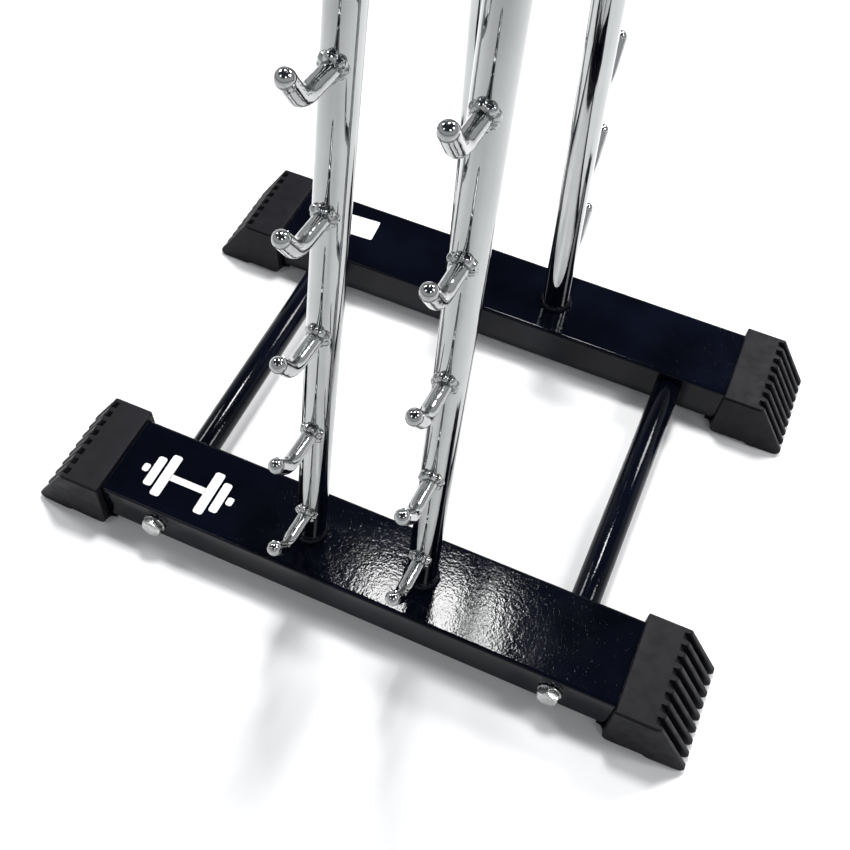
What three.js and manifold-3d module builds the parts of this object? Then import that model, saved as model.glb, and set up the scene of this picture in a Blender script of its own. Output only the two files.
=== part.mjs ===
// Double-sided dumbbell stand. Millimetres, +Z up, origin on the floor under the middle of the stand.
// +X runs along the base beams, -Y is the front. Left is -X.
import * as THREE from "three";
import { mergeVertices } from "three/addons/utils/BufferGeometryUtils.js";
import Module from "manifold-3d";

const wasm = await Module();
wasm.setup();

// Driving dimensions
const GAP = 0.3; // clearance left between touching pieces
const BEAM = { length: 520, width: 80, height: 40, wall: 2, corner: 3, lift: 9 }; // lift: underside above floor
const BEAM_SPACING = 332; // front beam centre to rear beam centre
const CROSS_TUBE = { diameter: 25, wall: 2, x: 180, plug: 14 }; // plug: depth of the welded end plug
const HOOP = { diameter: 25, wall: 1.5, spacing: 101, bendRadius: 66, buried: 36 };
const HOOP_LEAN = THREE.MathUtils.degToRad(5.7); // each leg leans to the middle of the stand
const HOOP_TILT = THREE.MathUtils.degToRad(0.9); // each hoop tips towards the other
const HOOK = { diameter: 11.8, first: 63, pitch: 102.3, levels: 10, reach: 68 };
const HOOK_ARM = { drop: 24.8, rise: 0.05, bendRadius: 24, tipAngle: 0.9 }; // angles in radians
const WELD = { diameter: 17, length: 6 };
const BOLT = { diameter: 10, headAcross: 17, headHeight: 6.4, length: 98 };
const WASHER = { diameter: 20, thickness: 2 };
const FOOT = { inner: 231, topOuter: 267.5, toe: 298, halfWidth: 46.2, crown: 4 };
const FOOT_SOLE = { lip: 9, arch: 2.4, archEnd: 33, step: 6, round: 3, toeRound: 6 }; // arch: rise inside
const SOCKET_DEPTH = 40; // how much of a beam's end a foot covers
const FIN = { slots: 8, slotWidth: 5, pitch: 11, depth: 5, curl: 0.24 }; // curl: height share of the run-out
const OVERCUT = 5; // how far a cutting tool reaches past the surface it opens

const BEAM_TOP = BEAM.lift + BEAM.height;
const BEAM_MIDDLE = BEAM.lift + BEAM.height / 2;
const SIDES = { left: -1, right: 1 };
const FACES = { front: -1, rear: 1 };

const steel = (color, roughness, metalness) => () =>
  new THREE.MeshStandardMaterial({ color, roughness, metalness });
const blackPaint = steel(0x0b0c10, 0.22, 0.0);
const chrome = steel(0xc8cbcc, 0.06, 1.0);
const zinc = steel(0xb4b6b2, 0.35, 1.0);
const rubber = steel(0x26272b, 0.6, 0.0);

const root = new THREE.Group();

// Solid geometry helpers
function toSolid(geometry) {
  const bare = geometry.clone();
  bare.deleteAttribute("normal");
  bare.deleteAttribute("uv");
  const merged = mergeVertices(bare, 1e-4);
  return new wasm.Manifold(
    new wasm.Mesh({
      numProp: 3,
      vertProperties: merged.attributes.position.array,
      triVerts: new Uint32Array(merged.index.array),
    }),
  );
}

function toGeometry(solid) {
  const mesh = solid.getMesh();
  return new THREE.BufferGeometry()
    .setAttribute("position", new THREE.BufferAttribute(mesh.vertProperties, 3))
    .setIndex(new THREE.BufferAttribute(mesh.triVerts, 1));
}

function cut(body, tools) {
  return tools.reduce((solid, tool) => solid.subtract(toSolid(tool)), body);
}

function addMesh(parent, name, geometry, material) {
  const mesh = new THREE.Mesh(geometry, material());
  mesh.name = name;
  parent.add(mesh);
  return mesh;
}

function circle(radius, hole = 0) {
  const shape = new THREE.Shape();
  shape.absarc(0, 0, radius, 0, Math.PI * 2);
  if (hole) shape.holes.push(new THREE.Path().absarc(0, 0, hole, 0, Math.PI * 2, true));
  return shape;
}

function roundedRectangle(path, width, height, radius) {
  const x = width / 2;
  const y = height / 2;
  path.moveTo(-x + radius, -y);
  path.lineTo(x - radius, -y).absarc(x - radius, -y + radius, radius, -Math.PI / 2, 0);
  path.lineTo(x, y - radius).absarc(x - radius, y - radius, radius, 0, Math.PI / 2);
  path.lineTo(-x + radius, y).absarc(-x + radius, y - radius, radius, Math.PI / 2, Math.PI);
  path.lineTo(-x, -y + radius).absarc(-x + radius, -y + radius, radius, Math.PI, Math.PI * 1.5);
  return path;
}

// A rod or tube along Y, centred on the given point
function cylinderAlongY(radius, length, x, y, z, sides = 16) {
  return new THREE.CylinderGeometry(radius, radius, length, sides).translate(x, y, z);
}

// A path whose sections lie exactly on the given stations
class StationPath extends THREE.Curve {
  constructor(stations) {
    super();
    this.stations = stations;
  }
  getUtoTmapping(u) {
    return u;
  }
  getPoint(t, target = new THREE.Vector3()) {
    const place = t * (this.stations.length - 1);
    const index = Math.min(Math.floor(place), this.stations.length - 2);
    return target.lerpVectors(this.stations[index], this.stations[index + 1], place - index);
  }
}

function sweep(shape, stations, curveSegments) {
  return new THREE.ExtrudeGeometry(shape, {
    extrudePath: new StationPath(stations),
    steps: stations.length - 1,
    curveSegments,
  });
}

function arcPoints(centreY, centreZ, radius, from, to, steps) {
  return Array.from({ length: steps + 1 }, (_, i) => {
    const angle = from + ((to - from) * i) / steps;
    return new THREE.Vector3(0, centreY + radius * Math.cos(angle), centreZ + radius * Math.sin(angle));
  });
}

// Frame of one hoop: origin on top of the beams, leaning in towards the other hoop
function hoopFrame(side) {
  const frame = new THREE.Group();
  frame.position.set((side * HOOP.spacing) / 2, 0, BEAM_TOP);
  frame.rotation.y = -side * HOOP_TILT;
  return frame;
}

// Frame of one leg: origin where its axis meets the top of the beam, +Z up the leg
function legFrame(parent, face) {
  const frame = new THREE.Group();
  frame.position.y = (face * BEAM_SPACING) / 2;
  frame.rotation.x = face * HOOP_LEAN;
  parent.add(frame);
  return frame;
}

// Hoop: one tube bent into a narrow upside-down U
function hoopGeometry() {
  const bend = HOOP.bendRadius;
  const apex = ((BEAM_SPACING / 2) * Math.cos(HOOP_LEAN) - bend) / Math.sin(HOOP_LEAN);
  const footY = BEAM_SPACING / 2 + HOOP.buried * Math.sin(HOOP_LEAN);
  const footZ = -HOOP.buried * Math.cos(HOOP_LEAN);
  const stations = [
    new THREE.Vector3(0, footY, footZ),
    ...arcPoints(0, apex, bend, HOOP_LEAN, Math.PI - HOOP_LEAN, 12),
    new THREE.Vector3(0, -footY, footZ),
  ];
  return sweep(circle(HOOP.diameter / 2, HOOP.diameter / 2 - HOOP.wall), stations, 9);
}

// Centre line of a hook in the frame of its leg: x is the distance out from the leg's axis, y the
// height from the tip. Returns the line's length and a function from length along it to a place.
function hookCentreLine() {
  const { drop, rise, bendRadius, tipAngle } = HOOK_ARM;
  const heading = (angle) => new THREE.Vector2(Math.cos(angle), Math.sin(angle));
  const start = new THREE.Vector2(HOOP.diameter / 2 + GAP, -drop);
  const toTip = new THREE.Vector2(HOOK.reach, 0).sub(start);
  const across = heading(rise).cross(heading(tipAngle));
  const trim = bendRadius * Math.tan((tipAngle - rise) / 2);
  const arm = toTip.cross(heading(tipAngle)) / across - trim;
  const upturn = heading(rise).cross(toTip) / across - trim;
  const bend = bendRadius * (tipAngle - rise);
  const bendStart = start.clone().addScaledVector(heading(rise), arm);
  const centre = bendStart.clone().addScaledVector(heading(rise + Math.PI / 2), bendRadius);
  const place = (length) => {
    if (length <= arm) return { angle: rise, point: start.clone().addScaledVector(heading(rise), length) };
    const angle = Math.min(rise + (length - arm) / bendRadius, tipAngle);
    const point = centre.clone().addScaledVector(heading(angle - Math.PI / 2), bendRadius);
    return { angle, point: point.addScaledVector(heading(angle), Math.max(length - arm - bend, 0)) };
  };
  return { arm, bend, length: arm + bend + upturn, place };
}

// Hook: a rod with a weld collar at its root and a round tip, turned as one profile and bent along
// its centre line, with the root hollowed to sit on the leg
function hookGeometry() {
  const line = hookCentreLine();
  const radius = HOOK.diameter / 2;
  const collar = WELD.diameter / 2;
  const seat = HOOP.diameter / 2 + 2 * GAP; // the flat facets of the root reach in by up to one GAP
  const bendSteps = 3;
  const tipSteps = 3;
  const profile = [
    [0, 0],
    [collar / 2, 0],
    [collar, 0],
    [collar, WELD.length / 3],
    [radius, WELD.length],
  ];
  for (let i = 0; i <= bendSteps; i++) profile.push([radius, line.arm + (line.bend * i) / bendSteps]);
  for (let i = 0; i <= tipSteps; i++) {
    const angle = (Math.PI / 2 / tipSteps) * i;
    profile.push([i === tipSteps ? 0 : radius * Math.cos(angle), line.length + radius * Math.sin(angle)]);
  }
  const turned = new THREE.LatheGeometry(profile.map(([x, y]) => new THREE.Vector2(x, y)), 8);
  const vertices = turned.getAttribute("position");
  for (let i = 0; i < vertices.count; i++) {
    const aside = -vertices.getX(i);
    const { angle, point } = line.place(vertices.getY(i));
    const height = point.y + vertices.getZ(i) * Math.cos(angle);
    let out = point.x - vertices.getZ(i) * Math.sin(angle);
    if (vertices.getY(i) < WELD.length / 2) {
      out = Math.sqrt(seat * seat - aside * aside) + vertices.getY(i);
    }
    vertices.setXYZ(i, aside, -out, height);
  }
  return toGeometry(toSolid(turned));
}

// Beam: open box section, drilled for the cross-tube bolts and bored on top for the hoop legs
function beamGeometry(face) {
  const { width, height, corner, wall, length } = BEAM;
  const section = roundedRectangle(new THREE.Shape(), width, height, corner);
  section.holes.push(
    roundedRectangle(new THREE.Path(), width - 2 * wall, height - 2 * wall, corner - wall + 0.5),
  );
  const bar = new THREE.ExtrudeGeometry(section, { depth: length, bevelEnabled: false, curveSegments: 3 })
    .translate(0, 0, -length / 2)
    .rotateX(Math.PI / 2)
    .rotateZ(Math.PI / 2)
    .translate(0, (face * BEAM_SPACING) / 2, BEAM_MIDDLE);
  const tools = [];
  for (const side of Object.values(SIDES)) {
    tools.push(
      cylinderAlongY(
        BOLT.diameter / 2 + GAP,
        width + 2 * OVERCUT,
        side * CROSS_TUBE.x,
        (face * BEAM_SPACING) / 2,
        BEAM_MIDDLE,
      ),
    );
    const hoop = hoopFrame(side);
    const leg = legFrame(hoop, face);
    hoop.updateMatrixWorld(true);
    tools.push(
      new THREE.CylinderGeometry(HOOP.diameter / 2 + GAP, HOOP.diameter / 2 + GAP, HOOP.buried, 20)
        .rotateX(Math.PI / 2)
        .applyMatrix4(leg.matrixWorld),
    );
  }
  return toGeometry(cut(toSolid(bar), tools));
}

// Cross tube: round tube between the beams with a tapped plug welded into each end
function crossTubeGeometry(side) {
  const length = BEAM_SPACING - BEAM.width - 2 * GAP;
  const x = side * CROSS_TUBE.x;
  const bore = CROSS_TUBE.diameter / 2 - CROSS_TUBE.wall;
  const hollow = cylinderAlongY(bore, length - 2 * CROSS_TUBE.plug, x, 0, BEAM_MIDDLE);
  const tapped = cylinderAlongY(BOLT.diameter / 2 + GAP, length + 2 * OVERCUT, x, 0, BEAM_MIDDLE);
  const bar = cylinderAlongY(CROSS_TUBE.diameter / 2, length, x, 0, BEAM_MIDDLE, 24);
  return toGeometry(cut(toSolid(bar), [hollow, tapped]));
}

// Side outline of a foot: sleeve over the beam end, sloping toe, arched sole with a lip under the beam
function footOutline(top) {
  const { lip, arch, archEnd, step, round, toeRound } = FOOT_SOLE;
  const underBeam = BEAM.lift - GAP;
  const outline = new THREE.Shape();
  outline.moveTo(FOOT.inner, top);
  outline.lineTo(FOOT.inner - round / 2, BEAM.lift + round);
  outline.quadraticCurveTo(FOOT.inner - round / 2, underBeam, FOOT.inner - lip, underBeam);
  outline.quadraticCurveTo(FOOT.inner - lip / 2, arch, FOOT.inner + round, arch);
  outline.lineTo(FOOT.inner + archEnd, arch);
  outline.lineTo(FOOT.inner + archEnd + step, 0);
  outline.lineTo(FOOT.toe - toeRound, 0);
  outline.quadraticCurveTo(FOOT.toe, 0, FOOT.toe, toeRound);
  outline.lineTo(FOOT.topOuter, top);
  return outline;
}

// Side outline of the cutter for the slots between fins: down the slope, then curling out at the floor
function slotOutline(top) {
  const start = FOOT.topOuter - FIN.depth;
  const curl = start + (FOOT.toe - FOOT.topOuter) * (1 - FIN.curl);
  const toe = FOOT.toe - FOOT_SOLE.toeRound;
  const slot = new THREE.Shape();
  slot.moveTo(start, top + OVERCUT);
  slot.lineTo(start, top);
  slot.lineTo(curl, top * FIN.curl);
  slot.quadraticCurveTo(toe, FIN.depth, FOOT.toe + OVERCUT, FIN.depth / 2);
  slot.lineTo(FOOT.toe + OVERCUT, top + OVERCUT);
  return slot;
}

function extrudeAcross(shape, width, middle) {
  return new THREE.ExtrudeGeometry(shape, { depth: width, bevelEnabled: false, curveSegments: 4 })
    .rotateX(Math.PI / 2)
    .translate(0, middle + width / 2, 0);
}

// Rubber foot: a block with a socket for the beam end and a toe split into fins
function footGeometry() {
  const top = BEAM_TOP + FOOT.crown;
  const block = extrudeAcross(footOutline(top), 2 * FOOT.halfWidth, 0);
  const socket = new THREE.BoxGeometry(
    2 * SOCKET_DEPTH,
    BEAM.width + 2 * GAP,
    BEAM.height + 2 * GAP,
  ).translate(BEAM.length / 2 + GAP - SOCKET_DEPTH, 0, BEAM_MIDDLE);
  const slots = Array.from({ length: FIN.slots }, (_, i) =>
    extrudeAcross(slotOutline(top), FIN.slotWidth, (i - (FIN.slots - 1) / 2) * FIN.pitch),
  );
  return toGeometry(cut(toSolid(block), [socket, ...slots]));
}

// Hexagon bolt with its shank through the beam and into the cross tube, head towards -Y
function boltGeometry() {
  const head = new THREE.CylinderGeometry(
    BOLT.headAcross / Math.sqrt(3),
    BOLT.headAcross / Math.sqrt(3),
    BOLT.headHeight,
    6,
  ).translate(0, -BOLT.headHeight / 2, 0);
  const root = BOLT.diameter / 4; // the shank starts inside the head
  const shank = new THREE.CylinderGeometry(BOLT.diameter / 2, BOLT.diameter / 2, BOLT.length + root, 12)
    .translate(0, (BOLT.length - root) / 2, 0);
  return toGeometry(toSolid(head).add(toSolid(shank)));
}

function washerGeometry() {
  return new THREE.ExtrudeGeometry(circle(WASHER.diameter / 2, BOLT.diameter / 2 + GAP), {
    depth: WASHER.thickness,
    bevelEnabled: false,
    curveSegments: 12,
  }).rotateX(Math.PI / 2);
}

// Assembly
for (const [faceName, face] of Object.entries(FACES)) {
  addMesh(root, `beam_${faceName}`, beamGeometry(face), blackPaint);
}

for (const [sideName, side] of Object.entries(SIDES)) {
  addMesh(root, `cross_tube_${sideName}`, crossTubeGeometry(side), blackPaint);
}

for (const [faceName, face] of Object.entries(FACES)) {
  for (const [sideName, side] of Object.entries(SIDES)) {
    const place = `${faceName}_${sideName}`;
    const foot = addMesh(root, `foot_${place}`, footGeometry(), rubber);
    foot.position.y = (face * BEAM_SPACING) / 2;
    foot.rotation.z = side < 0 ? Math.PI : 0;

    const fastener = new THREE.Group();
    fastener.position.set(side * CROSS_TUBE.x, (face * (BEAM_SPACING + BEAM.width)) / 2, BEAM_MIDDLE);
    fastener.rotation.z = face < 0 ? 0 : Math.PI;
    root.add(fastener);
    const washer = addMesh(fastener, `washer_${place}`, washerGeometry(), zinc);
    washer.position.y = -GAP;
    const bolt = addMesh(fastener, `bolt_${place}`, boltGeometry(), zinc);
    bolt.position.y = -2 * GAP - WASHER.thickness;
  }
}

const hook = hookGeometry();
for (const [sideName, side] of Object.entries(SIDES)) {
  const hoop = hoopFrame(side);
  root.add(hoop);
  addMesh(hoop, `hoop_${sideName}`, hoopGeometry(), chrome);
  for (const [faceName, face] of Object.entries(FACES)) {
    const leg = legFrame(hoop, face);
    for (let level = 0; level < HOOK.levels; level++) {
      const number = String(level + 1).padStart(2, "0");
      const mesh = addMesh(leg, `hook_${faceName}_${sideName}_${number}`, hook.clone(), chrome);
      mesh.position.z = HOOK.first + level * HOOK.pitch;
      mesh.rotation.z = face < 0 ? 0 : Math.PI;
    }
  }
}

export default root;
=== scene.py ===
"""Double-sided dumbbell stand: the finished surface of every piece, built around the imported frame.
Metres, +Z up, +X along the base beams, -Y is the front. Left is -X."""
import math

import bmesh
import bpy
from bpy.props import FloatProperty, FloatVectorProperty, IntProperty, PointerProperty
from mathutils import Matrix, Vector, noise


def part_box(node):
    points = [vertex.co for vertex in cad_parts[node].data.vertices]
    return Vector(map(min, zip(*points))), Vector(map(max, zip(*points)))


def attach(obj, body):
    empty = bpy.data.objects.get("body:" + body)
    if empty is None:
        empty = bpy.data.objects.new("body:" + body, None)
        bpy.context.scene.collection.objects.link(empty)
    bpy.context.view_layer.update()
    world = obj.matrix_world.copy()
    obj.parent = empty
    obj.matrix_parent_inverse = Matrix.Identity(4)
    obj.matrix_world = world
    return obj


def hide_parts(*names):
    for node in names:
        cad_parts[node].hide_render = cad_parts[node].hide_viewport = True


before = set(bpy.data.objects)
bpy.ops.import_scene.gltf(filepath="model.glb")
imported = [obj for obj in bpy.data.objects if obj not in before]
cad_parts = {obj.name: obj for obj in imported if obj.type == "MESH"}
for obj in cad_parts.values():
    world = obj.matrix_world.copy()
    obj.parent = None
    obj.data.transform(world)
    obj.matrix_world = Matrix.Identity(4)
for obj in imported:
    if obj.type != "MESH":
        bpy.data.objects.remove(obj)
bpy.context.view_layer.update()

bl_info = {
    "name": "Dumbbell stand",
    "version": (1, 0, 0),
    "blender": (4, 5, 0),
    "location": "3D View > Sidebar > Dumbbell Stand",
    "description": "Builds the detailed pieces, finishes and stage of a double-sided dumbbell stand",
    "category": "Object",
}

SIDES = {"left": -1, "right": 1}
FACES = {"front": -1, "rear": 1}
LEVELS = 10
MM = 0.001


def middle(node):
    low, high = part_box(node)
    return (low + high) / 2


def extent(node):
    low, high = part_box(node)
    return high - low


BEAM_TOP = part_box("beam_front")[1].z
BEAM_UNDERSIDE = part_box("beam_front")[0].z


# --- Settings


def length_setting(name, description, millimetres):
    return FloatProperty(name=name, description=description, default=millimetres * MM, unit="LENGTH")


def colour_setting(name, description, shade):
    return FloatVectorProperty(
        name=name, description=description, default=shade, size=3, subtype="COLOR", min=0, max=1
    )


class STAND_PG_sizes(bpy.types.PropertyGroup):
    """Sizes of the stand that the finished pieces use."""

    beam_corner: length_setting("Beam corner", "Outer corner radius of the box section", 3)
    beam_wall: length_setting("Beam wall", "Wall thickness of the box section", 2)
    hoop_spacing: length_setting("Hoop spacing", "Distance between the hoops on the beams", 101)
    hoop_diameter: length_setting("Hoop diameter", "Outer diameter of the hoop tube", 25)
    hoop_wall: length_setting("Hoop wall", "Wall thickness of the hoop tube", 1.5)
    hoop_bend: length_setting("Hoop bend", "Bend radius on top of a hoop", 66)
    hook_diameter: length_setting("Hook diameter", "Diameter of the hook rod", 11.8)
    hook_reach: length_setting("Hook reach", "Leg axis to the centre of a hook's tip", 68)
    hook_drop: length_setting("Hook drop", "Root of a hook below its tip", 24.8)
    hook_rise: FloatProperty(
        name="Hook rise", description="Upward slope of a hook's arm", default=0.05, unit="ROTATION"
    )
    hook_tip_angle: FloatProperty(
        name="Tip angle", description="Slope of a hook's upturned tip", default=0.90, unit="ROTATION"
    )
    hook_bend: length_setting("Hook bend", "Bend radius of a hook's rod", 24)
    foot_flare: length_setting("Foot flare", "How far a foot's side stands out at the floor", 2.2)
    foot_slots: IntProperty(name="Foot slots", description="Slots between the fins of a foot", default=8, min=1)
    slot_pitch: length_setting("Slot pitch", "Distance between the slots of a foot", 11)
    slot_width: length_setting("Slot width", "Width of a slot between two fins", 6)
    foot_rounding: length_setting("Foot rounding", "Rounding of a foot's edges and fins", 1.4)


class STAND_PG_finishes(bpy.types.PropertyGroup):
    """Colours of the finishes."""

    # The blue in this black is a painted reflection: it stands in for the bluish sheen round the highlights on
    # the paint.
    paint: colour_setting("Paint", "Gloss black powder coat", (0.0015, 0.0020, 0.0050))
    chrome: colour_setting("Chrome", "Bright chrome plate", (0.42, 0.43, 0.43))
    rubber: colour_setting("Rubber", "Satin black rubber", (0.0062, 0.0062, 0.0082))
    zinc: colour_setting("Zinc", "Bright zinc plate on the fasteners", (0.58, 0.59, 0.58))
    orange_peel: length_setting("Orange peel", "Depth of the texture in the paint", 0.05)


# --- Modelling helpers


def leave_edit():
    bpy.ops.object.mode_set(mode="OBJECT")


def deselect():
    if bpy.context.object and bpy.context.object.mode != "OBJECT":
        leave_edit()
    bpy.ops.object.select_all(action="DESELECT")


def make_active(piece):
    deselect()
    piece.select_set(True)
    bpy.context.view_layer.objects.active = piece


def edit(piece, kind="FACE", select="DESELECT"):
    """Opens a piece in edit mode with nothing selected, or all of it."""
    make_active(piece)
    bpy.ops.object.mode_set(mode="EDIT")
    bpy.ops.mesh.select_mode(type=kind)
    bpy.ops.mesh.select_all(action=select)


def pick(piece, kind, test):
    """Selects the faces or edges of the piece in edit mode that pass the test."""
    mesh = bmesh.from_edit_mesh(piece.data)
    found = 0
    for part in getattr(mesh, kind):
        chosen = test(part)
        part.select_set(chosen)
        found += chosen
    if not found:
        raise RuntimeError(f"no {kind} of {piece.name} were found to select")
    mesh.select_flush_mode()
    bmesh.update_edit_mesh(piece.data)


def edge_line(edge):
    """Middle and direction of an edge."""
    a, b = (vertex.co for vertex in edge.verts)
    return (a + b) / 2, (b - a).normalized()


def join(pieces):
    """Joins pieces into the first of them."""
    make_active(pieces[0])
    for piece in pieces[1:]:
        piece.select_set(True)
    bpy.ops.object.join()
    return pieces[0]


def apply_place(piece):
    make_active(piece)
    bpy.ops.object.transform_apply(location=True, rotation=True, scale=True)


def apply_modifier(piece, kind, **settings):
    make_active(piece)
    modifier = piece.modifiers.new(kind.title(), kind)
    for name, value in settings.items():
        setattr(modifier, name, value)
    bpy.ops.object.modifier_apply(modifier=modifier.name)


def cut_away(piece, cutters):
    """Cuts the cutters out of a piece and removes them."""
    for cutter in cutters:
        apply_modifier(piece, "BOOLEAN", operation="DIFFERENCE", solver="EXACT", object=cutter)
        bpy.data.objects.remove(cutter)


def tidy_mesh(piece, distance=1e-6):
    edit(piece, select="SELECT")
    bpy.ops.mesh.remove_doubles(threshold=distance)
    bpy.ops.mesh.normals_make_consistent(inside=False)
    leave_edit()


def box(centre, size):
    deselect()
    bpy.ops.mesh.primitive_cube_add(size=1, location=centre, scale=size)
    piece = bpy.context.object
    apply_place(piece)
    return piece


def rod(centre, radius, length, axis, sides=48):
    """A plain cylinder, used as a start or as a cutter."""
    deselect()
    turn = Vector((0, 0, 1)).rotation_difference(Vector(axis)).to_euler()
    bpy.ops.mesh.primitive_cylinder_add(
        vertices=sides, radius=radius, depth=length, location=centre, rotation=turn
    )
    piece = bpy.context.object
    apply_place(piece)
    return piece


def open_ring(sides, radius, location, rotation=(0, 0, 0)):
    """A circle of edges in edit mode, ready to extrude."""
    deselect()
    bpy.ops.mesh.primitive_circle_add(
        vertices=sides, radius=radius, fill_type="NOTHING", location=location, rotation=rotation
    )
    piece = bpy.context.object
    apply_place(piece)
    edit(piece, "EDGE", "SELECT")
    return piece


def extrude(by):
    bpy.ops.mesh.extrude_region_move(TRANSFORM_OT_translate={"value": by})


def turned(profile, sides=48, closed=False):
    """A round shape about Z with one ring for each (radius, height) of the profile. A closed profile
    joins its last ring to its first, and an open one gets a flat face over each end."""
    radius, height = profile[0]
    piece = open_ring(sides, radius, (0, 0, height))
    for next_radius, next_height in profile[1:] + (profile[:1] if closed else []):
        extrude((0, 0, next_height - height))
        scale = next_radius / radius
        bpy.ops.transform.resize(value=(scale, scale, 1), center_override=(0, 0, next_height))
        radius, height = next_radius, next_height
    bpy.ops.mesh.select_all(action="SELECT")
    if not closed:
        bpy.ops.mesh.fill_holes(sides=0)
    tidy_mesh(piece)
    return piece


def outlined(points, depth):
    """A slab: the outline of (x, z) points in the XZ plane, half its depth on each side of Y zero."""
    deselect()
    bpy.ops.mesh.primitive_circle_add(vertices=len(points), radius=1, fill_type="NGON")
    piece = bpy.context.object
    for vertex, (x, z) in zip(piece.data.vertices, points):
        vertex.co = (x, -depth / 2, z)
    edit(piece, select="SELECT")
    extrude((0, depth, 0))
    tidy_mesh(piece)
    return piece


def curve_points(start, control, end, steps):
    """Points along a quadratic curve, without its start."""
    start, control, end = (Vector(point) for point in (start, control, end))
    points = []
    for i in range(1, steps + 1):
        t = i / steps
        points.append(tuple(start.lerp(control, t).lerp(control.lerp(end, t), t)))
    return points


def dome_rings(radius, base, steps=7):
    """Profile of a round end on a rod, up to a last small ring."""
    rings = []
    for i in range(1, steps + 1):
        angle = math.pi / 2 * i / (steps + 0.35)
        rings.append((radius * math.cos(angle), base + radius * math.sin(angle)))
    return rings


def place(piece, matrix):
    piece.matrix_world = matrix
    apply_place(piece)


def own_copy(piece):
    twin = piece.copy()
    twin.data = piece.data.copy()
    bpy.context.scene.collection.objects.link(twin)
    return twin


def complete(piece, name, finish, nodes=(), smooth=35, weighted=False):
    """Shades, paints and names a finished piece and puts it on the frame."""
    piece.name = name
    piece.data.name = name
    make_active(piece)
    bpy.ops.object.shade_smooth_by_angle(angle=math.radians(smooth))
    if weighted:
        apply_modifier(piece, "WEIGHTED_NORMAL", keep_sharp=True, weight=100)
    piece.data.materials.clear()
    piece.data.materials.append(finish)
    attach(piece, "root")
    if nodes:
        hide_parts(*nodes)
    return piece


def check_place(piece, node, tolerance=2.5 * MM):
    """Stops if a piece isn't where its node is."""
    low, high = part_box(node)
    points = [piece.matrix_world @ vertex.co for vertex in piece.data.vertices]
    for axis in range(3):
        least = min(point[axis] for point in points)
        most = max(point[axis] for point in points)
        if abs(least - low[axis]) > tolerance or abs(most - high[axis]) > tolerance:
            raise RuntimeError(
                f"{piece.name} runs from {least:.4f} to {most:.4f} on axis {axis},"
                f" and its node from {low[axis]:.4f} to {high[axis]:.4f}"
            )


# --- Places taken from the frame


def leg_direction(face, side):
    first = middle(f"hook_{face}_{side}_01")
    last = middle(f"hook_{face}_{side}_{LEVELS:02d}")
    return (last - first).normalized(), (last - first).length / (LEVELS - 1)


def leg_matrix(face, side):
    """Frame of a leg: origin where its axis meets the top of the beam, +Z up the leg, -Y out through
    its hooks on both faces of the stand."""
    up, _ = leg_direction(face, side)
    across = Vector((up.z, 0, -up.x)).normalized()
    along = up.cross(across)
    if FACES[face] > 0:
        across, along = -across, -along
    spacing = bpy.context.scene.stand_sizes.hoop_spacing
    origin = Vector((SIDES[side] * spacing / 2, middle(f"beam_{face}").y, BEAM_TOP))
    matrix = Matrix((across, along, up)).transposed().to_4x4()
    return Matrix.Translation(origin) @ matrix


def lean_and_tilt():
    """Lean of a leg to the middle of the stand, and tilt of a hoop towards the other one."""
    up, _ = leg_direction("front", "right")
    return math.asin(up.y), math.atan2(-up.x, up.z)


# --- Finishes


class Finish:
    """A node material with a few shorthand ways to add nodes."""

    def __init__(self, name):
        self.material = bpy.data.materials.new(name)
        self.material.use_nodes = True
        self.nodes = self.material.node_tree.nodes
        self.shader = self.nodes["Principled BSDF"]
        self.place = self.add("ShaderNodeTexCoord").outputs["Object"]

    def add(self, kind, **settings):
        node = self.nodes.new(kind)
        for name, value in settings.items():
            setattr(node, name, value)
        return node

    def link(self, output, target):
        self.material.node_tree.links.new(output, target)

    def set(self, **values):
        for name, value in values.items():
            self.shader.inputs[name.replace("_", " ")].default_value = value

    def grain(self, size, detail=2.0, stretch=(1, 1, 1), rough=0.5):
        """Noise whose lumps are about the given size across."""
        mapping = self.add("ShaderNodeMapping")
        mapping.inputs["Scale"].default_value = stretch
        self.link(self.place, mapping.inputs["Vector"])
        texture = self.add("ShaderNodeTexNoise")
        texture.inputs["Scale"].default_value = 1 / size
        texture.inputs["Detail"].default_value = detail
        texture.inputs["Roughness"].default_value = rough
        self.link(mapping.outputs["Vector"], texture.inputs["Vector"])
        return texture.outputs["Fac"]

    def remap(self, value, low, high, from_low=0.35, from_high=0.65):
        node = self.add("ShaderNodeMapRange")
        node.inputs["From Min"].default_value = from_low
        node.inputs["From Max"].default_value = from_high
        node.inputs["To Min"].default_value = low
        node.inputs["To Max"].default_value = high
        self.link(value, node.inputs["Value"])
        return node.outputs["Result"]

    def blend(self, factor, first, second):
        """Mix of two colours, each a tuple or another node's output."""
        node = self.add("ShaderNodeMix", data_type="RGBA")
        ends = [socket for socket in node.inputs if socket.type == "RGBA"]
        for socket, colour in zip(ends, (first, second)):
            if isinstance(colour, tuple):
                socket.default_value = (*colour, 1)
            else:
                self.link(colour, socket)
        self.link(factor, node.inputs["Factor"])
        return next(socket for socket in node.outputs if socket.type == "RGBA")

    def tint(self, texture, first, second):
        """Base colour that drifts from one shade to the other with a texture."""
        mix = self.blend(self.remap(texture, 0, 1), first, second)
        self.link(mix, self.shader.inputs["Base Color"])

    def bump(self, height, distance, strength=1.0, below=None):
        node = self.add("ShaderNodeBump")
        node.inputs["Distance"].default_value = distance
        node.inputs["Strength"].default_value = strength
        self.link(height, node.inputs["Height"])
        if below is not None:
            self.link(below, node.inputs["Normal"])
        return node.outputs["Normal"]


def shade_of(colour, factor):
    return tuple(min(1, channel * factor) for channel in colour)


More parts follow.
